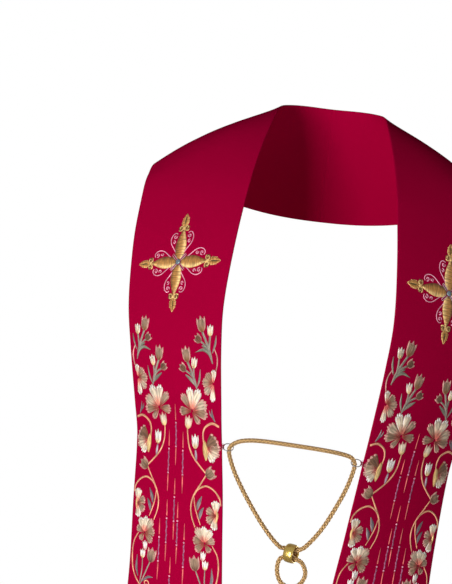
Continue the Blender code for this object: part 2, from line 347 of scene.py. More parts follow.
def cord_finish():
    """Gold thread laid in strands: twisted yarns, with a painted highlight on each strand's crown
    where it lies over the others and painted shade in the valleys between strands.
    """
    finish = Finish("cord_gold_thread")
    along, around = finish.layout("strand")
    settings = bpy.context.scene.stole_cord
    crossing = settings.pitch / settings.strands
    ridge = around.wave(math.pi * STRAND_WIDTH * settings.diameter)
    over = (along + crossing / 4).wave(crossing)
    yarns = (along + around * 1.6).wave(0.75 * MM)
    # Painted light: where a strand crosses over, its crown gets the gold at 1.18 as a painted
    # highlight, and the valleys get the gold at 0.36 as painted shade. The yarns add their own
    # twist pattern.
    painted_highlight_and_yarns = (ridge * over) * 0.75 + yarns * 0.25
    finish.set(
        Base_Color=finish.mixed(painted_highlight_and_yarns, toned(settings.gold, 0.36), toned(settings.gold, 1.18)),
        Roughness=0.38 - 0.14 * yarns,
        Metallic=0.45,
        Sheen_Weight=0.1,
        Sheen_Roughness=0.5,
        Sheen_Tint=(1.0, 0.85, 0.6),
    )
    finish.bump(yarns, distance=0.18 * MM, strength=0.8)
    return finish.material


def thread_finish(name, metallic, roughness):
    """Satin stitches side by side, in the tint of each patch, along the patch's own thread, with a
    painted highlight on the stitches' crowns, painted shade between them and streaks of painted
    sheen along the thread.
    """
    finish = Finish(name)
    along, over = finish.layout("thread")
    tint = finish.node("Attribute", {"attribute_name": "tint"})

    def streaked(per_metre_along, per_metre_over):
        spread = {0: along * per_metre_along, 1: over * per_metre_over}
        return finish.noise(finish.node("CombineXYZ", None, spread))

    stitches = over.wave(0.7 * MM)
    joints = streaked(160.0, 1900.0)
    streaks = streaked(70.0, 620.0)
    # Painted light: the tint is lightened on each stitch's crown and darkened between stitches, and
    # long streaks of painted sheen run along the thread. The joints only vary the tone.
    light = 0.45 + 0.22 * stitches + 0.15 * joints + 0.75 * streaks.within(0.3, 0.7)
    finish.set(
        Base_Color=finish.shaded(tint, light),
        Roughness=roughness + 0.12 * joints - 0.08 * stitches,
        Metallic=metallic,
        Specular_IOR_Level=0.35,
        Sheen_Weight=0.05,
    )
    finish.bump(stitches * 0.8 + joints * 0.4, distance=0.2 * MM, strength=0.8)
    return finish.material


def stone_finish():
    """A clouded grey-blue stone."""
    finish = Finish("cross_stone")
    clouds = finish.noise(finish.place(), scale=700.0, detail=3.0)
    finish.set(
        Base_Color=finish.mixed(clouds, (0.045, 0.075, 0.10), (0.25, 0.33, 0.38)),
        Roughness=0.12 + 0.15 * clouds,
        Coat_Weight=0.5,
    )
    return finish.material


def wire_finish():
    """Drawn silver wire with fine scratches along it."""
    finish = Finish("ring_silver")
    scratches = finish.noise(finish.place(), scale=900.0, detail=4.0)
    finish.set(
        Base_Color=finish.shaded(bpy.context.scene.stole_metal.silver, 0.8 + 0.3 * scratches),
        Roughness=0.2 + 0.16 * scratches,
        Metallic=1.0,
    )
    finish.bump(scratches, distance=0.03 * MM, strength=0.5)
    return finish.material


def slide_finish():
    """Bright gold wire wound close round the slide, each turn a ridge, with painted shade in the
    grooves between the turns.
    """
    finish = Finish("slide_gold")
    around, along = finish.layout("wound")
    turns = around.wave(0.9 * MM)
    worn = finish.noise(finish.place(), scale=260.0, detail=3.0)
    colour = bpy.context.scene.stole_metal.gold
    finish.set(
        # Painted shade: the gold darkens to 0.75 in the grooves between the turns.
        Base_Color=finish.mixed(turns, toned(colour, 0.75), colour),
        Roughness=0.17 + 0.08 * worn,
        Metallic=0.85,
    )
    finish.bump(turns, distance=0.1 * MM, strength=0.5)
    return finish.material


def floor_finish():
    finish = Finish("pale_floor")
    mottle = finish.noise(finish.place(), scale=3.0, detail=3.0)
    finish.set(
        Base_Color=finish.shaded(bpy.context.scene.stole_stage.floor, 0.98 + 0.03 * mottle),
        Roughness=0.85 + 0.05 * mottle,
        Specular_IOR_Level=0.1,
    )
    return finish.material


# ---------------------------------------------------------------- the bands' surface


def slopes_of(knots, values):
    """The slope of a smooth curve at each of its points."""
    last = len(values) - 1
    ends = [(max(j - 1, 0), min(j + 1, last)) for j in range(last + 1)]
    return [(values[high] - values[low]) / (knots[high] - knots[low]) for low, high in ends]


def fitted(knots, values, slopes, at):
    """The value at a distance along a smooth curve through the given values."""
    i = min(max(sum(k <= at for k in knots) - 1, 0), len(knots) - 2)
    span = knots[i + 1] - knots[i]
    f = (at - knots[i]) / span
    rise = f * f * (3 - 2 * f)
    leaving = f * (1 - f) ** 2 * span
    arriving = f * f * (f - 1) * span
    return values[i].lerp(values[i + 1], rise) + slopes[i] * leaving + slopes[i + 1] * arriving


def distances(points):
    """How far along the line through the points each of them is."""
    total = [0.0]
    for before, after in zip(points, points[1:]):
        total.append(total[-1] + (after - before).length)
    return total


def eased(low, high, at):
    """0 below low and 1 above high, with a soft step between them."""
    share = min(max((at - low) / (high - low), 0.0), 1.0)
    return share * share * (3 - 2 * share)


NECK_EDGE = [Vector((s.nx, s.ny, s.nz)) * CM for s in SECTIONS]
OUTER_EDGE = [Vector((s.ox, s.oy, s.oz)) * CM for s in SECTIONS]
BOWS = [Vector((s.bow, 0, 0)) * CM for s in SECTIONS]
ALONG = distances([n.lerp(o, 0.5) for n, o in zip(NECK_EDGE, OUTER_EDGE)])
BAND_LENGTH = ALONG[-1]
NECK_SLOPES, OUTER_SLOPES, BOW_SLOPES = (slopes_of(ALONG, v) for v in (NECK_EDGE, OUTER_EDGE, BOWS))
# The two bands are mirror images that run into each other at the nape, so there only x changes.
for slopes in (NECK_SLOPES, OUTER_SLOPES):
    slopes[0] = Vector((slopes[0].x, 0, 0))
BOW_SLOPES[0] = Vector((0, 0, 0))


def section_ends(along):
    """The neck edge and the outer edge of the left band at a distance from the nape."""
    neck = fitted(ALONG, NECK_EDGE, NECK_SLOPES, along)
    outer = fitted(ALONG, OUTER_EDGE, OUTER_SLOPES, along)
    return neck, outer


# In metres down a band: its swells, and where it turns over the shoulder, hangs free and spreads
# towards the hem.
SWELL, RIPPLE, SHOULDER_RIPPLE = 0.31, 0.17, 0.085
TURNS, TURNED, HANGS, SPREADS = (0.12, 0.2), (0.24, 0.36), (0.36, 0.55), 0.75


def creases(side, along, across):
    """How far the cloth stands out from its smooth form, for a crease height of 1.

    Long swells down the hanging cloth, ripples where it turns over the shoulder, a pucker beside
    the ring and a wave that grows to the hem. The two bands differ."""
    hangs = eased(*HANGS, along)
    low = eased(SPREADS, BAND_LENGTH, along)
    turning = eased(*TURNS, along) * (1 - eased(*TURNED, along))
    swell = 0.8 * math.sin(math.tau * (along / SWELL + 0.4 * across) + 1.7 * side)
    ripple = 0.45 * math.sin(math.tau * (along / RIPPLE - 0.6 * across) + 0.8 * side)
    shoulder = 0.5 * math.sin(math.tau * (along / SHOULDER_RIPPLE + 0.7 * across) + side) * across
    hem = 2.6 * math.sin(math.tau * 0.9 * across + 0.9 * side + 1.1)
    pull = -0.4 * math.exp(-(((along - RING_ALONG) / 0.02) ** 2) - (across / 0.1) ** 2)
    return hangs * (swell + ripple) + turning * shoulder + low * hem + pull


class Band:
    """The backing side of one band: a close lattice of points and outward normals."""

    ROWS = 340
    COLUMNS = 40

    def __init__(self, side, crease):
        self.side = side
        self.widths = []
        down, over = range(self.ROWS + 1), range(self.COLUMNS + 1)
        self.points = [self.row(BAND_LENGTH * i / self.ROWS, crease) for i in down]
        self.normals = [[self.normal(i, j) for j in over] for i in down]

    def row(self, along, crease):
        """The points across the band at a distance from the nape."""
        neck, outer = section_ends(along)
        low, high = max(along - MM, 0), min(along + MM, BAND_LENGTH)
        down = sum(section_ends(high), Vector()) - sum(section_ends(low), Vector())
        out = down.cross(outer - neck).normalized()
        bow = fitted(ALONG, BOWS, BOW_SLOPES, along).x
        self.widths.append((outer - neck).length)
        # The bands overlap a little in the seam at the nape, and are clear of each other below it.
        apart = GAP / 2 - SEAM_OVERLAP * (1 - eased(0.0, SEAM_REACH, along))
        found = []
        for j in range(self.COLUMNS + 1):
            across = j / self.COLUMNS
            stand = bow * 4 * across * (1 - across) + crease * creases(self.side, along, across)
            point = neck.lerp(outer, across) + out * stand
            found.append(Vector((self.side * (point.x + apart), point.y, point.z)))
        return found

    def normal(self, i, j):
        above, below = self.points[max(i - 1, 0)][j], self.points[min(i + 1, self.ROWS)][j]
        inner, outer = self.points[i][max(j - 1, 0)], self.points[i][min(j + 1, self.COLUMNS)]
        return (below - above).cross(outer - inner).normalized() * self.side

    def at(self, along, across, lift):
        """A point of the band, lift out from its backing side."""
        row = min(max(along / BAND_LENGTH, 0.0), 1.0) * self.ROWS
        column = min(max(across, 0.0), 1.0) * self.COLUMNS
        i, j = min(int(row), self.ROWS - 1), min(int(column), self.COLUMNS - 1)
        down, over = row - i, column - j

        def blended(lattice):
            first = lattice[i][j].lerp(lattice[i][j + 1], over)
            return first.lerp(lattice[i + 1][j].lerp(lattice[i + 1][j + 1], over), down)

        return blended(self.points) + blended(self.normals).normalized() * lift

    def spot(self, along, off, lift):
        """A point lift above the face, off from the middle of the band towards its outer edge."""
        row = min(max(round(along / BAND_LENGTH * self.ROWS), 0), self.ROWS)
        return self.at(along, 0.5 + off / self.widths[row], WALL + lift)


BANDS = {}


def band_of(side):
    """The surface of a band, worked out once."""
    if side not in BANDS:
        BANDS[side] = Band(side, bpy.context.scene.stole_cloth.crease)
    return BANDS[side]


# The two bands, by the side of the middle that they hang on.
SIDES = {"right": -1, "left": 1}


# ---------------------------------------------------------------- mesh helpers


def finished(name, bm, *materials):
    """An object at the origin with the mesh, its faces outwards and smooth."""
    bmesh.ops.recalc_face_normals(bm, faces=bm.faces)
    mesh = bpy.data.meshes.new(name)
    bm.to_mesh(mesh)
    bm.free()
    for material in materials:
        mesh.materials.append(material)
    mesh.shade_smooth()
    made = bpy.data.objects.new(name, mesh)
    bpy.context.scene.collection.objects.link(made)
    return made


def each_once(elements):
    """The elements in the order they come in, each only once."""
    return list(dict.fromkeys(elements))


def grid(bm, rows, columns):
    """Adds a flat grid and gives its points with their shares along and across, from 0 to 1."""
    made = bmesh.ops.create_grid(bm, x_segments=rows, y_segments=columns, size=0.5)["verts"]

    def share(place, steps):
        return round((place + 0.5) * steps) / steps

    return [(v, share(v.co.x, rows), share(v.co.y, columns)) for v in made]


def tube(bm, layer, rows, columns, place, spread):
    """A closed tube: a grid whose points are put round a line, its seam merged and its ends filled.

    place takes the shares along and around. spread gives a point's place on the UV map."""
    shares = {v: (x, y) for v, x, y in grid(bm, rows, columns)}
    for face in each_once(f for v in shares for f in v.link_faces):
        for loop in face.loops:
            loop[layer].uv = spread(*shares[loop.vert])
    for vert, share in shares.items():
        vert.co = place(*share)
    verts = list(shares)
    bmesh.ops.remove_doubles(bm, verts=verts, dist=WELD)
    rims = each_once(e for v in verts if v.is_valid for e in v.link_edges if e.is_boundary)
    bmesh.ops.holes_fill(bm, edges=rims, sides=0)


def wheel(first, second, angle):
    """The direction at an angle from the first of two directions towards the second."""
    return first * math.cos(angle) + second * math.sin(angle)


def line_frames(points):
    """Two directions square to a line at each of its points, without twist."""
    ends = zip([points[0]] + points, points[1:] + [points[-1]])
    ahead = [(after - before).normalized() for before, after in ends]
    side = ahead[0].orthogonal().normalized()
    found = []
    for before, now in zip([ahead[0]] + ahead, ahead):
        side = before.rotation_difference(now) @ side
        side = (side - now * side.dot(now)).normalized()
        found.append((side, now.cross(side)))
    return found


# ---------------------------------------------------------------- the cord


def slide_axes():
    """The slide's own directions: along its bore to the right, up, and to the back."""
    turn = Matrix.Rotation(SLIDE_LEAN, 3, "Y") @ Matrix.Rotation(-SLIDE_TURN, 3, "Z")
    return turn @ Vector((1, 0, 0)), turn @ Vector((0, 0, 1)), turn @ Vector((0, 1, 0))


def in_slide(share, rise):
    """A point of a strand in the bore, share being -1 at the left mouth and 1 at the right one."""
    along, up, back = slide_axes()
    offset = up * STRAND_RISE * share + back * STRAND_DEPTH * (1 - share * share)
    return SLIDE_CENTRE + along * share * SLIDE_WIDTH / 2 + offset * rise


def cord_line(step):
    """Points a step apart on the cord's way from the bore over both rings and round the loop."""
    upper = [Vector((p.x, p.y, p.z)) * CM for p in OVER_RINGS]
    lower = [Vector((p.x, p.y, p.z)) * CM for p in LOOP]
    leaving = [in_slide(s, 1) for s in (0.04, 0.5, 1.0)]
    crossing = [in_slide(s, -1) for s in (-1.0, -0.5, 0.0, 0.5, 1.0)]
    arriving = [in_slide(s, 1) for s in (-1.0, -0.5, -0.04)]
    route = leaving + upper + crossing + lower + arriving
    knots = distances(route)
    slopes = slopes_of(knots, route)
    count = round(knots[-1] / step)
    return [fitted(knots, route, slopes, knots[-1] * i / count) for i in range(count + 1)]


class STOLE_OT_cord(bpy.types.Operator):
    """Braid the gold cord along its way through the slide and the rings"""

    bl_idname = "stole.cord"
    bl_label = "Cord"

    def execute(self, context):
        settings = context.scene.stole_cord
        line = cord_line(0.7 * MM)
        frames = line_frames(line)
        reach = distances(line)
        last = len(line) - 1
        radius = settings.diameter / 2
        middle, sway = radius * 0.7, radius * 0.13
        half_width, half_height = radius * STRAND_WIDTH, radius * 0.2
        bm = bmesh.new()
        layer = bm.loops.layers.uv.new("strand")

        def strand(turns, start):
            lean = math.atan(math.tau * middle / settings.pitch) * turns
            late = 0 if turns > 0 else settings.pitch / settings.strands / 2

            def place(x, y):
                i = round(x * last)
                side, over = frames[i]
                angle = turns * math.tau * reach[i] / settings.pitch + start
                out = wheel(side, over, angle)
                wide = wheel(wheel(over, -side, angle), -side.cross(over), lean)
                crossing = 2 * settings.strands * math.pi * reach[i] / settings.pitch
                lift = middle + turns * sway * math.cos(crossing)
                turn = math.tau * y
                lift += half_height * math.sin(turn)
                return line[i] + out * lift + wide * half_width * math.cos(turn)

            def spread(x, y):
                return x * reach[-1] + late, y * math.tau * half_width

            tube(bm, layer, last, 6, place, spread)

        def core(x, y):
            i = round(x * last)
            return line[i] + wheel(*frames[i], math.tau * y) * middle * 0.92

        tube(bm, layer, last, 6, core, lambda x, y: (x * reach[-1], y * math.tau * middle))
        for turns in (1, -1):
            for k in range(settings.strands):
                strand(turns, math.tau * k / settings.strands)
        cord = finished("braided_cord", bm, cord_finish())
        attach(cord, "root")
        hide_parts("cord")
        return {"FINISHED"}


# ---------------------------------------------------------------- the bands


class STOLE_OT_bands(bpy.types.Operator):
    """Lay the two crimson bands over the shoulders and down the front"""

    bl_idname = "stole.bands"
    bl_label = "Bands"

    def execute(self, context):
        settings = context.scene.stole_cloth
        cloth = cloth_finish()
        for word, side in SIDES.items():
            band = band_of(side)
            piece = self.band(band, settings, "cloth_band_" + word, cloth)
            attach(piece, "root")
            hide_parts("band_" + word)
        return {"FINISHED"}

    def band(self, band, settings, name, cloth):
        """A closed shell: a grid extruded once, both faces put in place and the rim rounded."""
        bm = bmesh.new()
        layer = bm.loops.layers.uv.new("cloth")
        grid(bm, band.ROWS, band.COLUMNS)
        made = bmesh.ops.extrude_face_region(bm, geom=bm.faces[:], use_keep_orig=True)
        face = {v for v in made["geom"] if isinstance(v, bmesh.types.BMVert)}
        for each in bm.faces:
            for loop in each.loops:
                along, across = (loop.vert.co.x + 0.5) * BAND_LENGTH, loop.vert.co.y + 0.5
                loop[layer].uv = along, across * CLOTH_WIDTH
        for vert in bm.verts:
            along, across = (vert.co.x + 0.5) * BAND_LENGTH, vert.co.y + 0.5
            vert.co = band.at(along, across, settings.wall if vert in face else 0.0)
        bmesh.ops.recalc_face_normals(bm, faces=bm.faces)
        rim = [e for e in bm.edges if e.is_manifold and e.calc_face_angle() > SHARP]
        bmesh.ops.bevel(
            bm, geom=rim, offset=settings.edge, segments=3, affect="EDGES", profile=0.5, material=-1
        )
        return finished(name, bm, cloth)


# ---------------------------------------------------------------- stitches


# A patch's underside lies a little in the cloth, and its rim a little over it.
SUNK = -0.2 * MM
PROUD = 0.06 * MM
# How high single threads, cups and the cross's padding stand.
FINE = 0.45 * MM
PLUMP = 0.7 * MM
PADDED = 1.5 * MM
# In centimetres: a row of a stem's mesh, and the step over which a line's direction is taken.
STEM_ROW = 0.22
NUDGE = 0.01
# How much a patch's tints vary, and how far along its thread, in centimetres, its pattern starts.
TINTED = (0.93, 1.07)
THREAD_LENGTH = 50


def thread_mesh():
    """A mesh with the layout and the tint that a thread finish reads."""
    bm = bmesh.new()
    return bm, bm.loops.layers.uv.new("thread"), bm.verts.layers.float_color.new("tint")


class Stitches:
    """Raised stitching in one mesh: closed patches of thread, each with its tint and its direction.

    A class made from this one has spot(across, along, lift), which gives the point of the cloth at
    a place of its motifs in centimetres."""

    def __init__(self, seed):
        self.chance = random.Random(seed)
        self.bm, self.layer, self.tint = thread_mesh()

    @staticmethod
    def ladder(points, rows):
        """The length of a line, and the middle, the way across and the half width of each row."""
        knots = distances([Vector((a, b, 0)) for a, b, _ in points])
        line = [Vector(point) for point in points]
        slopes = slopes_of(knots, line)
        length = knots[-1]
        rungs = []
        for i in range(rows + 1):
            reach = length * i / rows
            here = fitted(knots, line, slopes, reach)
            ahead = fitted(knots, line, slopes, min(reach + NUDGE, length))
            behind = fitted(knots, line, slopes, max(reach - NUDGE, 0))
            square = Vector((behind.y - ahead.y, ahead.x - behind.x)).normalized()
            rungs.append((here, square, max(here.z, 0.01)))
        return length, rungs

    def patch(self, points, tints, rise, rows=7, columns=4, look=0, rim=0.5, satin=False):
        """A domed patch along a smooth line.

        points are its places and half widths, in centimetres, from root to tip. tints are the
        colours of its root, its heart and its two rims, and rim is where on the way out from the
        middle the rims' colours begin. rise is the height of the dome in metres. The stitches of
        a satin patch run across it."""
        length, rungs = self.ladder(points, rows)
        tints = (*tints, tints[-1])[:4]
        root, heart, light, dark = (Vector(t) * self.chance.uniform(*TINTED) for t in tints)
        start = self.chance.uniform(0, THREAD_LENGTH)
        bottoms = [v for v, _, _ in grid(self.bm, rows, columns)]
        flat = each_once(f for v in bottoms for f in v.link_faces)
        made = bmesh.ops.extrude_face_region(self.bm, geom=flat, use_keep_orig=True)["geom"]
        tops = [v for v in made if isinstance(v, bmesh.types.BMVert)]
        for face in each_once([*flat, *(f for v in tops for f in v.link_faces)]):
            face.material_index = look
            for loop in face.loops:
                x, y = loop.vert.co.x + 0.5, loop.vert.co.y * 2
                thread = (x * length + start) * CM, y * rungs[rows // 2][2] * CM
                loop[self.layer].uv = thread[::-1] if satin else thread
        for group, dome in ((bottoms, None), (tops, rise)):
            for vert in group:
                i = round((vert.co.x + 0.5) * rows)
                off = round((vert.co.y + 0.5) * columns) * 2 / columns - 1
                share = i / rows
                outer = eased(rim, 1.0, max(abs(off), (share - 0.75) * 4))
                inner = root.lerp(heart, eased(0.08, 0.6, share))
                vert[self.tint] = (*inner.lerp(light if off >= 0 else dark, outer), 1.0)
                here, square, half = rungs[i]
                end = math.sqrt(max(1 - (2 * i / rows - 1) ** 4, 0.0))
                lift = SUNK if dome is None else PROUD + dome * end * (1 - off * off) ** 0.6
                place = here.x + square.x * half * off, here.y + square.y * half * off
                vert.co = self.spot(*place, lift)

    def vine(self, points, tint, rise=0.5 * MM, look=0):
        """A stem or a line of stitches, with the half widths of its points."""
        length = distances([Vector((a, b, 0)) for a, b, _ in points])[-1]
        # One rim is the same thread made 15% lighter: a painted highlight along that edge.
        tints = (tint, tint, toned(tint, 1.15), tint)
        self.patch(points, tints, rise, max(4, round(length / STEM_ROW)), 2, look)

    def knot(self, at, radius, tint, rise=0.6 * MM):
        """A small round knot."""
        across, along = at
        steps = (-1, -0.5, 0, 0.5, 1)
        points = [(across, along + radius * s, radius * math.sqrt(1.02 - s * s)) for s in steps]
        self.patch(points, (tint, tint, tint, tint), rise, 4, 4)


def straight(rows):
    """Rows (up, half width) of a motif whose middle line is straight."""
    return [(0, up, half) for up, half in rows]


def grown(at, angle, rows, wide=1.0, tall=1.0):
    """Rows of a motif (sideways to the middle line, up, half width) as points on the band.

    wide and tall are the measures that the rows are shares of."""
    c, s = math.cos(angle), math.sin(angle)
    sized = [(a * wide, b * tall, h * wide) for a, b, h in rows]
    return [(at[0] - (a * c + b * s), at[1] - (b * c - a * s), h) for a, b, h in sized]


def spiral(at, radius, turns, start, half):
    """Points of a curl that winds in from its outside, turns being negative one way round."""
    steps = max(5, round(abs(turns) * 8))
    found = []
    for i in range(steps + 1):
        share = i / steps
        angle, reach = start + math.tau * turns * share, radius * (1 - 0.8 * share)
        found.append((at[0] + reach * math.cos(angle), at[1] + reach * math.sin(angle), half))
    return found


# ---------------------------------------------------------------- the crosses


# The four arms as directions down and out: along the arm, and to the side where its padded petal
# has the painted highlight.
ARMS = (((-1, 0), (0, -1)), ((1, 0), (0, -1)), ((0, 1), (1, 0)), ((0, -1), (1, 0)))
# A cross's silk is its second finish, after the gold.
SILK = 1
# An arm's motifs in centimetres, sideways, along the arm and half width: the straight petal without
# its 0 sideways, a leaf at its tip, a loop of the filigree without its even half width, and a ray.
PADDED_PETAL = (
    (0.4, 0.24), (0.8, 0.57), (1.4, 0.76), (2.15, 0.8), (2.95, 0.64), (3.6, 0.38), (4.2, 0.14),
)
TIP_LEAF = ((0.05, 4.7, 0.1), (0.26, 5.15, 0.26), (0.24, 5.7, 0.2), (0.03, 6.4, 0.03))
FILIGREE = (
    (0.42, 0.7), (0.62, 1.2), (1.05, 1.8), (1.5, 2.4),
    (1.68, 3.05), (1.5, 3.65), (1.1, 3.9), (0.8, 3.75),
)
RAY = ((0.2, 0.34, 0.04), (0.6, 0.78, 0.04), (0.98, 1.12, 0.025))
# The curls of the filigree: their place, radius and the half turns at which they start.
CURLS = (((1.08, 3.42), 0.3, 0.4), ((1.16, 2.66), 0.26, -0.1))
STONE_RADIUS = 3.6 * MM
STONE_FOOT = 0.5 * MM
STONE_TOP = 2.0 * MM


def over_cross(side, down, out, lift):
    """A point over a band, down and out from the centre of its cross."""
    along = CROSS_ALONG + down * math.cos(CROSS_TURN) + out * math.sin(CROSS_TURN)
    across = out * math.cos(CROSS_TURN) - down * math.sin(CROSS_TURN)
    return band_of(side).spot(along, across, lift)


def mirrored(sign, points):
    """The points themselves for a sign of 1, and to the other side for -1."""
    return [(sign * a, b, half) for a, b, half in points]


class CrossWork(Stitches):
    """Sews one cross, each of its arms in the same way."""

    def __init__(self, side, thread):
        super().__init__(5 + side)
        self.side = side
        self.thread = thread
        self.directions = ARMS[0]

    def spot(self, across, along, lift):
        ahead, light = self.directions
        down, out = ((a * along + l * across) * CM for a, l in zip(ahead, light))
        return over_cross(self.side, down, out, lift)

    def arm(self):
        """A padded petal with a painted highlight on one half and painted shade on the other, a
        pair of scrolls and a veined leaf at the tip.
        """
        t = self.thread
        # Painted light: the petal's gold turns to straw as a painted highlight on one half and to
        # bronze as painted shade on the other.
        tints = (t.gold, t.gold, t.bronze, t.straw)
        self.patch(straight(PADDED_PETAL), tints, PADDED, 16, 12, rim=0.1, satin=True)
        for sign in (-1, 1):
            centre = (sign * 0.44, 4.48)
            self.knot(centre, 0.38, t.bronze, 0.4 * MM)
            scroll = spiral(centre, 0.41, -sign * 1.3, math.pi / 2 - sign * 2.2, 0.085)
            self.vine(scroll, t.straw, 0.8 * MM)
            leaf = mirrored(sign, TIP_LEAF)
            self.patch(leaf, (t.gold, t.gold, t.straw), 0.8 * MM, 10, 4, satin=True)
        self.vine(((0, 4.1, 0.08), (0, 4.45, 0.1), (0, 4.75, 0.08)), t.straw, 0.9 * MM)
        self.vine(((0, 4.9, 0.05), (0, 5.4, 0.11), (0, 6.0, 0.04)), t.vein, 1.0 * MM)
        for sign in (-1, 1):
            for reach in (5.0, 5.35, 5.7):
                tip = sign * (0.56 - (reach - 5) * 0.12)
                tooth = ((sign * 0.36, reach, 0.07), (tip, reach + 0.14, 0.03))
                self.patch(tooth, (t.straw, t.straw, t.straw), 0.4 * MM, 3, 2)

    def filigree(self):
        """Fine pink loops with two curls beside the petal, and grey lines between the arms."""
        t = self.thread
        for sign in (-1, 1):
            self.vine([(sign * a, b, 0.055) for a, b in FILIGREE], t.pink, FINE, SILK)
            for (a, b), radius, start in CURLS:
                turned = math.pi * (0.5 + sign * start)
                curl = spiral((sign * a, b), radius, sign * 1.2, turned, 0.062)
                self.vine(curl, t.pink, FINE, SILK)
            self.vine(mirrored(sign, RAY), t.mist, 0.5 * MM, SILK)

    def work(self, name, looks):
        for self.directions in ARMS:
            self.arm()
            self.filigree()
        return finished(name, self.bm, *looks)


class STOLE_OT_crosses(bpy.types.Operator):
    """Pad and sew the two gold crosses with their filigree and stones"""

    bl_idname = "stole.crosses"
    bl_label = "Crosses"

    def execute(self, context):
        gold = thread_finish("cross_gold_thread", metallic=0.3, roughness=0.42)
        silk = thread_finish("cross_silk_thread", metallic=0.0, roughness=0.5)
        stone = stone_finish()
        for word, side in SIDES.items():
            work = CrossWork(side, context.scene.stole_thread)
            cross = work.work("sewn_cross_" + word, (gold, silk))
            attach(cross, "root")
            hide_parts("cross_" + word)
            gem = self.gem(side, "cross_stone_" + word, stone)
            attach(gem, "root")
        return {"FINISHED"}

    def gem(self, side, name, stone):
        """A low round stone over the crossing of the arms."""
        bm = bmesh.new()
        bmesh.ops.create_icosphere(bm, subdivisions=3, radius=1.0)
        centre = over_cross(side, 0, 0, STONE_FOOT)
        ends = ((0, STONE_RADIUS, STONE_FOOT), (STONE_RADIUS, 0, STONE_FOOT), (0, 0, STONE_TOP))
        axes = Matrix([over_cross(side, *end) - centre for end in ends]).transposed().to_4x4()
        bmesh.ops.transform(bm, matrix=Matrix.Translation(centre) @ axes, verts=bm.verts)
        return finished(name, bm, stone)


# ---------------------------------------------------------------- the flowers


# The petals of the carnations, in the order they are worked: how far their tips are to the middle
# line and up, their width and how pale they are, with a dark heart below 0.
Petal = namedtuple("Petal", "to_middle up width pale")
CARNATION = (
    Petal(-1.15, -1.45, 0.8, 0.1),
    Petal(-2.5, -0.3, 1.25, 0.0),
    Petal(2.05, -0.1, 1.1, 0.0),
    Petal(-2.4, 1.15, 1.35, 0.45),
    Petal(1.65, 2.0, 1.0, 0.15),
    Petal(-1.3, 2.75, 1.15, 1.0),
    Petal(0.3, 2.9, 1.1, 0.9),
)
LOW_CARNATION = (
    Petal(-0.75, -0.95, 0.8, 0.0),
    Petal(1.35, -1.0, 0.95, 0.0),
    Petal(1.75, 0.35, 1.1, 0.0),
    Petal(-1.35, 0.6, 0.95, 0.1),
    Petal(1.35, 1.75, 1.05, 0.5),
    Petal(-0.85, 1.75, 0.9, 0.8),
    Petal(0.25, 2.05, 0.9, 1.0),
)
SIDE_CARNATION = (
    Petal(1.7, 0.05, 1.1, 0.1),
    Petal(1.05, 1.15, 0.95, 0.0),
    Petal(-0.15, 1.65, 0.75, 0.7),
    Petal(1.35, -1.3, 0.95, 0.4),
    Petal(0.2, -2.2, 0.8, 1.0),
)
LOW_SIDE_FLOWER = (
    Petal(1.35, 0.6, 1.0, 0.1),
    Petal(1.3, -0.85, 1.0, 0.1),
    Petal(0.3, -1.75, 0.95, 0.7),
    Petal(0.1, 1.8, 1.2, 0.9),
)
CURLED_FLOWER = (
    Petal(-1.2, -1.65, 1.05, 0.8),
    Petal(-2.0, -0.85, 1.0, 0.5),
    Petal(-2.2, 0.1, 1.1, 0.1),
    Petal(-1.75, 1.15, 1.9, -0.8),
)
# The straight body of a petal and of a cup: up and half width, as shares of its length and width.
PETAL_BODY = ((0.1, 0.2), (0.35, 0.58), (0.6, 0.9), (0.8, 1.0), (0.92, 0.62))
CUP_BODY = ((-0.03, 0.2), (0.06, 0.5), (0.22, 0.78), (0.45, 0.83), (0.66, 0.7), (0.8, 0.36))
# Where the broken lines start between the two columns, in centimetres across and along.
BROKEN_LINES = (
    (0, 54.95), (1.2, 58.35), (-1.2, 58.35), (0, 64.3), (1.15, 67.1), (-0.6, 67.2),
    (2.3, 69.6), (-1.75, 69.75), (0.3, 74.2),
)


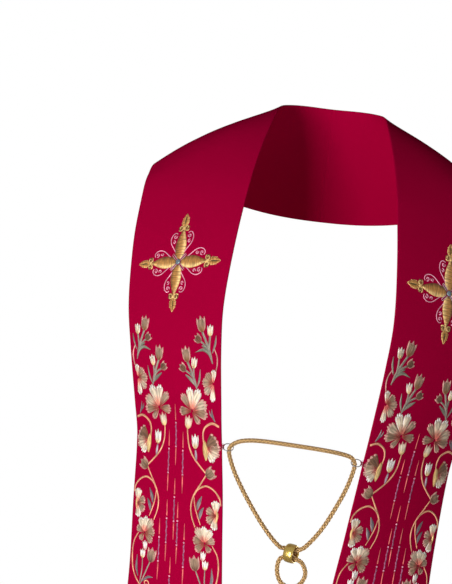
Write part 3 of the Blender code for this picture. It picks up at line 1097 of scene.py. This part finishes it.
class Embroiderer(Stitches):
    """Works the flowers of one band, each motif once on either side of the band's middle line."""

    def __init__(self, side, thread):
        super().__init__(11 + side)
        self.band = band_of(side)
        self.thread = thread
        self.mirror = 1

    def spot(self, across, along, lift):
        return self.band.spot(along * CM, self.mirror * across * CM, lift)

    def cup(self, at, angle, wide, tall, tints):
        """A tulip or a bud seen from the side: a round body whose mouth has pointed teeth."""
        for a, reach, root in ((-0.76, 0.9, 0.45), (0.76, 0.88, 0.45), (0.0, 0.99, 0.6)):
            tooth = ((a * 0.75, root, 0.28), (a * 0.92, root + 0.22, 0.22), (a * 1.05, reach, 0.03))
            points = grown(at, angle, tooth, wide, tall)
            self.patch(points, (tints[1], tints[2], tints[2]), PLUMP * 0.7, 5, 2)
        body = grown(at, angle, straight(CUP_BODY), wide, tall)
        self.patch(body, tints, PLUMP, 9, 6, rim=0.72)

    def leaf(self, points, dark=False):
        """A long leaf, grey with one dark rim and a green heart."""
        t = self.thread
        tints = (t.slate, t.slate, t.fog, t.night) if dark else (t.stem, t.leaf, t.fog, t.night)
        self.patch(points, tints, FINE, 9, 4)

    def petal(self, at, petal, order):
        """A toothed petal with three rays. The later ones of a flower stand higher."""
        t = self.thread
        long = math.hypot(petal.to_middle, petal.up)
        lean = math.atan2(petal.to_middle, petal.up)
        half = petal.width / 2
        heart = Vector(t.taupe).lerp(t.cream if petal.pale > 0 else t.umber, abs(petal.pale))
        root, tip = (t.peach, t.white) if petal.pale > 0.5 else (t.rust, t.blush)
        tints = (root, heart, tip, heart.lerp(t.rust, 0.55))
        if petal.pale < 0:
            tints = (heart, heart, t.bronze)
        for a, reach in ((-0.74, 0.93), (-0.26, 1.03), (0.26, 1.03), (0.74, 0.93)):
            off = a * half
            tooth = (
                (off, 0.74 * long, 0.3 * half),
                (off * 1.04, 0.92 * reach * long, 0.26 * half),
                (off * 1.06, reach * long, 0.05),
            )
            self.patch(grown(at, lean, tooth), (heart, tip, tip), 0.4 * MM, 4, 2)
        body = grown(at, lean, straight(PETAL_BODY), half, long)
        self.patch(body, tints, (0.5 + 0.06 * order) * MM, 9, 6, rim=0.66)
        for a in (-0.5, 0.0, 0.5):
            off = a * half
            ray = (
                (off * 0.3, 0.08 * long, 0.05),
                (off * 0.7, 0.36 * long, 0.05),
                (off, (0.66 - 0.2 * abs(a)) * long, 0.015),
            )
            tint = t.coral if petal.pale > 0.3 else t.rust
            self.vine(grown(at, lean, ray), tint, (0.7 + 0.06 * order) * MM)

    def carnation(self, at, petals):
        """A fan of petals, the pale ones uppermost."""
        for order, petal in enumerate(petals):
            self.petal(at, petal, order)

    def sprig(self, base, tulip, white, brown, leaves):
        """A tulip, a white bud and a round brown bud on thick grey stems."""
        t = self.thread
        x, y = base
        fork = ((x + tulip[0] + white[0]) / 3 + 0.12, y - (y - tulip[1]) * 0.42)
        for (across, along, _), half in ((tulip, 0.16), (white, 0.14), (brown, 0.13)):
            middle = ((fork[0] + across) / 2, (fork[1] + along) / 2 - 0.1)
            stem = ((*base, 0.06), (*fork, 0.21), (*middle, half), (across, along, half))
            self.vine(stem, t.stem)
        self.cup(tulip[:2], tulip[2], 0.76, 2.0, (t.bronze, t.taupe, t.blush))
        self.cup(white[:2], white[2], 0.5, 1.45, (t.straw, t.cream, t.white))
        self.cup(brown[:2], brown[2], 0.62, 1.2, (t.umber, t.umber, t.blush))
        for points in leaves:
            self.leaf(points)

    def broken_line(self, x, y):
        """Coral strokes at the ends of a wavering purple one, with a pink knot between them."""
        t = self.thread
        self.vine(((x, y, 0.02), (x, y + 1.2, 0.07), (x, y + 2.05, 0.085)), t.coral)
        self.knot((x, y + 2.4), 0.13, t.pink)
        for i in range(5):
            start, sway = y + 2.6 + 0.52 * i, 0.05 * (-1) ** i
            bend, end = (x + sway, start + 0.3, 0.12), (x - sway, start + 0.56, 0.06)
            self.vine(((x - sway, start, 0.06), bend, end), t.purple)
        self.knot((x, y + 5.4), 0.13, t.pink)
        self.vine(((x, y + 5.6, 0.08), (x, y + 6.5, 0.075), (x, y + 7.75, 0.02)), t.coral)

    def upper(self):
        """The two sprigs and the side carnation."""
        self.sprig(
            (6.5, 49.6),
            (4.9, 45.75, 0.2),
            (6.12, 46.25, 0.0),
            (4.68, 46.95, 0.95),
            (
                ((6.5, 48.3, 0.05), (6.9, 47.2, 0.14), (7.05, 46.15, 0.03)),
                ((6.2, 48.3, 0.08), (5.6, 47.75, 0.2), (4.85, 47.45, 0.08)),
                ((6.4, 49.4, 0.06), (6.0, 48.4, 0.22), (5.1, 47.95, 0.2), (3.85, 48.3, 0.03)),
            ),
        )
        self.sprig(
            (3.88, 52.95),
            (2.46, 49.5, 0.15),
            (3.44, 50.25, -0.2),
            (2.08, 50.6, 0.95),
            (
                ((3.88, 52.6, 0.05), (4.3, 51.6, 0.15), (4.52, 50.35, 0.03)),
                ((3.7, 52.5, 0.06), (2.95, 51.75, 0.24), (2.05, 51.15, 0.08)),
            ),
        )
        stem = ((6.75, 47.7, 0.07), (7.2, 48.7, 0.08), (7.2, 49.7, 0.08), (6.9, 50.65, 0.06))
        self.vine(stem, self.thread.blush)
        self.carnation((6.5, 52.0), SIDE_CARNATION)

    def middle(self):
        """The large carnation, its buds, the curl with its flower and the vine down to the node."""
        t = self.thread
        stem = (
            (1.98, 57.8, 0.08), (1.99, 58.5, 0.09), (2.11, 59.7, 0.1),
            (2.61, 60.9, 0.11), (3.5, 61.95, 0.11), (4.9, 63.2, 0.1),
        )
        self.vine(stem, t.peach)
        self.carnation((2.87, 55.65), CARNATION)
        self.cup((2.0, 57.85), -0.23, 0.66, 1.75, (t.straw, t.cream, t.blush))
        self.cup((3.22, 60.25), 0.0, 0.62, 1.85, (t.straw, t.white, t.white))
        sheath = ((3.42, 61.95, 0.05), (3.36, 61.2, 0.19), (3.25, 60.4, 0.12))
        self.patch(sheath, (t.slate, t.mist, t.purple), FINE)
        self.leaf(((6.55, 56.7, 0.06), (6.2, 56.0, 0.16), (6.1, 55.1, 0.03)), dark=True)
        self.leaf(((6.35, 56.3, 0.05), (5.9, 55.9, 0.1), (5.7, 55.3, 0.03)), dark=True)
        curl = (
            (7.13, 57.2, 0.13), (6.08, 56.9, 0.15), (4.9, 57.5, 0.13),
            (4.52, 58.35, 0.11), (4.6, 59.5, 0.09),
        )
        self.vine(curl, t.peach)
        self.carnation((4.9, 59.95), CURLED_FLOWER)
        self.vine(spiral((5.95, 60.05), 0.5, -1.1, 0.3, 0.06), t.blush, 0.9 * MM)
        self.vine(spiral((5.6, 60.7), 0.4, 0.9, 2.3, 0.06), t.rust, 0.9 * MM)
        calyx = (
            (4.92, 61.6, 0.08), (4.92, 60.95, 0.36), (4.86, 60.2, 0.43),
            (4.76, 59.6, 0.3), (4.66, 59.1, 0.05),
        )
        self.patch(calyx, (t.straw, t.straw, t.gold), 0.9 * MM)
        self.cup((4.95, 63.5), -1.0, 0.85, 1.6, (t.umber, t.taupe, t.blush))

    def lower(self):
        """The vines under the node, their loop and leaves, the side flower and a low carnation."""
        t = self.thread
        main = (
            (4.89, 63.4, 0.08), (4.12, 64.5, 0.1), (3.07, 66.05, 0.1),
            (2.66, 67.35, 0.09), (2.76, 68.55, 0.09), (3.35, 70.0, 0.07),
        )
        loop = (
            (3.1, 66.1, 0.07), (3.65, 65.3, 0.1), (4.89, 64.73, 0.11),
            (6.04, 65.1, 0.11), (6.9, 66.0, 0.1), (7.1, 66.9, 0.07),
        )
        inner = ((3.05, 66.1, 0.06), (3.3, 67.5, 0.08), (3.68, 68.55, 0.08), (4.15, 69.6, 0.06))
        for points in (main, loop, inner):
            self.vine(points, t.peach)
        self.leaf(((3.62, 67.85, 0.08), (3.8, 67.0, 0.28), (4.28, 66.05, 0.04)), dark=True)
        self.leaf(((3.97, 68.95, 0.08), (4.12, 68.15, 0.27), (4.55, 67.4, 0.05)), dark=True)
        self.carnation((6.4, 68.2), LOW_SIDE_FLOWER)
        self.vine(((6.4, 67.3, 0.1), (6.6, 68.2, 0.16), (6.35, 69.3, 0.08)), t.straw, 1.0 * MM)
        self.carnation((4.9, 71.8), LOW_CARNATION)
        self.cup((4.6, 73.95), -0.12, 0.42, 1.25, (t.blush, t.white, t.white))
        self.cup((5.0, 75.0), -0.05, 0.48, 1.2, (t.straw, t.white, t.white))
        self.cup((3.6, 75.3), 0.15, 0.85, 1.9, (t.umber, t.taupe, t.blush))

    def foot(self):
        """The spray that closes the design: stems and dark leaves that meet in a curl."""
        t = self.thread
        main = (
            (5.95, 71.9, 0.07), (6.7, 73.1, 0.08), (6.9, 74.8, 0.09),
            (6.5, 76.8, 0.09), (5.3, 78.3, 0.09), (4.2, 78.7, 0.07),
        )
        self.vine(main, t.peach)
        self.vine(spiral((4.1, 78.1), 0.6, 1.2, 1.4, 0.07), t.peach)
        self.vine(((3.65, 75.3, 0.08), (4.2, 76.4, 0.1), (5.1, 78.3, 0.07)), t.stem)
        self.vine(((5.0, 75.0, 0.06), (5.0, 76.6, 0.08), (5.25, 78.2, 0.07)), t.stem)
        self.leaf(((5.6, 77.4, 0.05), (6.0, 76.2, 0.2), (5.95, 74.7, 0.03)), dark=True)
        self.leaf(((4.9, 78.0, 0.05), (3.9, 77.3, 0.17), (3.0, 77.2, 0.03)), dark=True)

    def work(self, name, look):
        """All the motifs on both sides of the middle line, and the broken lines between them."""
        for self.mirror in (1, -1):
            self.upper()
            self.middle()
            self.lower()
            self.foot()
        self.mirror = 1
        for x, y in BROKEN_LINES:
            self.broken_line(x, y)
        return finished(name, self.bm, look)


class STOLE_OT_flowers(bpy.types.Operator):
    """Work the silk tulips, carnations, vines and broken lines down both bands"""

    bl_idname = "stole.flowers"
    bl_label = "Flowers"

    def execute(self, context):
        silk = thread_finish("flower_silk_thread", metallic=0.0, roughness=0.48)
        for word, side in SIDES.items():
            piece = Embroiderer(side, context.scene.stole_thread).work("silk_flowers_" + word, silk)
            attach(piece, "root")
        return {"FINISHED"}


# ---------------------------------------------------------------- rings and slide


RING_THREAD = (0.42, 0.01, 0.05)
# Where the turns of thread lie round the ring from the cloth's edge, in degrees.
RING_TURNS = (-26, -13, 0, 13, 26)


class STOLE_OT_rings(bpy.types.Operator):
    """Bend the two wire rings and sew each to the neck edge of its band"""

    bl_idname = "stole.rings"
    bl_label = "Rings"

    def execute(self, context):
        wire = wire_finish()
        thread = thread_finish("ring_stitches", metallic=0.0, roughness=0.55)
        reach = RING_RADIUS + RING_WIRE / 2 + GAP
        for word, side in SIDES.items():
            edge = band_of(side).at(RING_ALONG, 0.0, 0.0)
            centre = edge + Vector((-side * reach, -WALL / 2, 0))
            ring = self.ring(centre, "wire_ring_" + word, wire)
            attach(ring, "root")
            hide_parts("ring_" + word)
            stitches = self.stitches(side, centre, "ring_stitches_" + word, thread)
            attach(stitches, "root")
        return {"FINISHED"}

    def ring(self, centre, name, wire):
        """A closed ring of round wire, tipped forward."""
        bm = bmesh.new()
        section = bmesh.ops.create_circle(
            bm,
            segments=12,
            radius=RING_WIRE / 2,
            matrix=Matrix.Translation((RING_RADIUS, 0, 0)) @ Matrix.Rotation(math.pi / 2, 4, "X"),
        )["verts"]
        bmesh.ops.spin(
            bm,
            geom=section + each_once(e for v in section for e in v.link_edges),
            cent=(0, 0, 0),
            axis=(0, 0, 1),
            angle=math.tau,
            steps=72,
            use_merge=True,
        )
        turn = Matrix.Translation(centre) @ Matrix.Rotation(RING_PITCH, 4, "X")
        bmesh.ops.transform(bm, matrix=turn, verts=bm.verts)
        return finished(name, bm, wire)

    def stitches(self, side, centre, name, thread):
        """Turns of thread, each an oval round the ring's wire and the edge of the cloth."""
        bm, layer, tint = thread_mesh()
        pitch = Matrix.Rotation(RING_PITCH, 3, "X")
        for angle in map(math.radians, RING_TURNS):
            out = pitch @ Vector((side * math.cos(angle), math.sin(angle), 0))
            near = centre + out * (RING_RADIUS + 1.0 * MM)
            ahead = pitch @ Vector((-math.sin(angle), side * math.cos(angle), 0))
            over = out.cross(ahead).normalized()
            along = out.cross(over)

            def place(x, y):
                turn = math.tau * x
                away = out * math.cos(turn) * 2.0 * MM + over * math.sin(turn) * 1.45 * MM
                outwards = wheel(out, over, turn).normalized()
                return near + away + wheel(outwards, along, math.tau * y) * 0.3 * MM

            tube(bm, layer, 20, 6, place, lambda x, y: (x * 0.011, y * 0.002))
        for vert in bm.verts:
            vert[tint] = (*RING_THREAD, 1.0)
        return finished(name, bm, thread)


class STOLE_OT_slide(bpy.types.Operator):
    """Turn the thick gold slide that both strands of the cord run through"""

    bl_idname = "stole.slide"
    bl_label = "Slide"

    def execute(self, context):
        bm = bmesh.new()
        layer = bm.loops.layers.uv.new("wound")
        half = SLIDE_WIDTH / 2
        along, up, back = slide_axes()

        def section(turn):
            """The slide's rounded section: how far out from the bore's axis, and along it."""
            square = [math.copysign(abs(f) ** 0.75, f) for f in (math.cos(turn), math.sin(turn))]
            return SLIDE_RADIUS + SLIDE_WALL * square[0], half * square[1]

        def place(x, y):
            radius, shift = section(math.tau * y)
            return SLIDE_CENTRE + wheel(up, back, math.tau * x) * radius + along * shift

        tube(bm, layer, 96, 28, place, lambda x, y: (x * 0.07, y * 0.03))
        slide = finished("gold_slide", bm, slide_finish())
        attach(slide, "root")
        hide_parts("slide")
        return {"FINISHED"}


# ---------------------------------------------------------------- the stage


FLOOR_LEVEL = -1.27
FLOOR_RADIUS = 2.6
LIT_PLACE = Vector((0, 0, -0.5))
# How bright the white surroundings are to the cloth, to a reflection and to the camera.
SKY_ON_CLOTH = 0.08
SKY_IN_METAL = 0.45
SKY_SEEN = 1.0
# The camera that was fitted to the photograph's frame: metres, degrees and pixels.
CAMERA_PLACE = (0.0054, -2.5367, -0.3783)
CAMERA_ANGLES = (-2.694, 2.655, 6.85)
FOCAL_PIXELS = 1895.6
FRAME_HEIGHT = 584
SENSOR = 36.0


class STOLE_OT_stage(bpy.types.Operator):
    """Set the floor, the soft lights and the camera"""

    bl_idname = "stole.stage"
    bl_label = "Stage"

    def execute(self, context):
        settings = context.scene.stole_stage
        bm = bmesh.new()
        bmesh.ops.create_circle(bm, cap_ends=True, segments=96, radius=FLOOR_RADIUS)
        bmesh.ops.translate(bm, verts=bm.verts, vec=(0, 0, FLOOR_LEVEL))
        floor = finished("floor", bm, floor_finish())
        self.lamp("key", settings.key, size=0.9, place=(-1.55, -2.6, -0.88))
        self.lamp("fill", settings.fill, size=2.0, place=(1.6, -2.3, -0.7))
        self.lamp("back_left", settings.key * 0.65, size=1.5, place=(1.2, 2.7, -0.6))
        self.lamp("back_right", settings.fill, size=2.0, place=(-1.8, 2.4, -0.5))
        self.sky(context.scene)
        self.camera(context.scene)
        return {"FINISHED"}

    def lamp(self, name, power, size, place):
        """A soft square light that faces the stole."""
        data = bpy.data.lights.new(name, "AREA")
        data.energy = power
        data.size = size
        lamp = bpy.data.objects.new(name, data)
        lamp.location = place
        lamp.rotation_euler = (LIT_PLACE - lamp.location).to_track_quat("-Z", "Y").to_euler()
        bpy.context.scene.collection.objects.link(lamp)

    def sky(self, scene):
        """White to look at, bright in the metal's reflections and dim as a light on the cloth."""
        world = bpy.data.worlds.new("studio")
        scene.world = world
        world.use_nodes = True
        nodes, links = world.node_tree.nodes, world.node_tree.links
        background = nodes["Background"]
        background.inputs["Color"].default_value = (1, 1, 1, 1)
        path = nodes.new("ShaderNodeLightPath")
        dim = nodes.new("ShaderNodeMix")
        dim.inputs["A"].default_value = SKY_ON_CLOTH
        dim.inputs["B"].default_value = SKY_IN_METAL
        strength = nodes.new("ShaderNodeMix")
        strength.inputs["B"].default_value = SKY_SEEN
        links.new(path.outputs["Is Glossy Ray"], dim.inputs["Factor"])
        links.new(dim.outputs["Result"], strength.inputs["A"])
        links.new(path.outputs["Is Camera Ray"], strength.inputs["Factor"])
        links.new(strength.outputs["Result"], background.inputs["Strength"])

    def camera(self, scene):
        """The photograph's viewing angle, a little turned and rolled, with its focal length."""
        yaw, pitch, roll = (math.radians(angle) for angle in CAMERA_ANGLES)
        turn = Matrix.Rotation(-yaw, 4, "Z") @ Matrix.Rotation(math.pi / 2 + pitch, 4, "X")
        data = bpy.data.cameras.new("camera")
        data.lens = SENSOR * FOCAL_PIXELS / FRAME_HEIGHT
        data.clip_end = 60.0
        camera = bpy.data.objects.new("camera", data)
        turn = turn @ Matrix.Rotation(roll, 4, "Z")
        camera.matrix_world = Matrix.Translation(CAMERA_PLACE) @ turn
        scene.collection.objects.link(camera)
        scene.camera = camera
        scene.view_settings.view_transform = "Standard"


# ---------------------------------------------------------------- the panel and the order of work


class STOLE_PT_panel(bpy.types.Panel):
    """Show the sizes and colours, and a button for each group of pieces"""

    bl_idname = "STOLE_PT_panel"
    bl_label = "Clerical Stole"
    bl_space_type = "VIEW_3D"
    bl_region_type = "UI"
    bl_category = "Stole"

    def draw(self, context):
        for group, operators in PANEL_ROWS:
            box = self.layout.box()
            settings = getattr(context.scene, group)
            for word in settings.__annotations__:
                box.prop(settings, word)
            for operator in operators:
                box.operator(operator.bl_idname)


GROUPS = {
    "stole_stage": StoleStageSettings,
    "stole_cord": StoleCordSettings,
    "stole_cloth": StoleClothSettings,
    "stole_thread": StoleThreadSettings,
    "stole_metal": StoleMetalSettings,
}
PANEL_ROWS = (
    ("stole_stage", (STOLE_OT_stage,)),
    ("stole_cord", (STOLE_OT_cord,)),
    ("stole_cloth", (STOLE_OT_bands,)),
    ("stole_thread", (STOLE_OT_crosses, STOLE_OT_flowers)),
    ("stole_metal", (STOLE_OT_rings, STOLE_OT_slide)),
)
CLASSES = (*GROUPS.values(), *(each for _, row in PANEL_ROWS for each in row), STOLE_PT_panel)


def register():
    for each in CLASSES:
        bpy.utils.register_class(each)
    for name, group in GROUPS.items():
        setattr(bpy.types.Scene, name, PointerProperty(type=group))


def unregister():
    for name in GROUPS:
        delattr(bpy.types.Scene, name)
    for each in reversed(CLASSES):
        bpy.utils.unregister_class(each)


def declare():
    """Works out the points of the cord's line, 3 mm apart; nothing is done with them."""
    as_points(cord_line(3 * MM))


def main():
    register()
    bpy.ops.stole.stage()
    bpy.ops.stole.cord()
    bpy.ops.stole.bands()
    bpy.ops.stole.crosses()
    bpy.ops.stole.flowers()
    bpy.ops.stole.rings()
    bpy.ops.stole.slide()
    declare()
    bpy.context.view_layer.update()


if __name__ == "__main__":
    main()
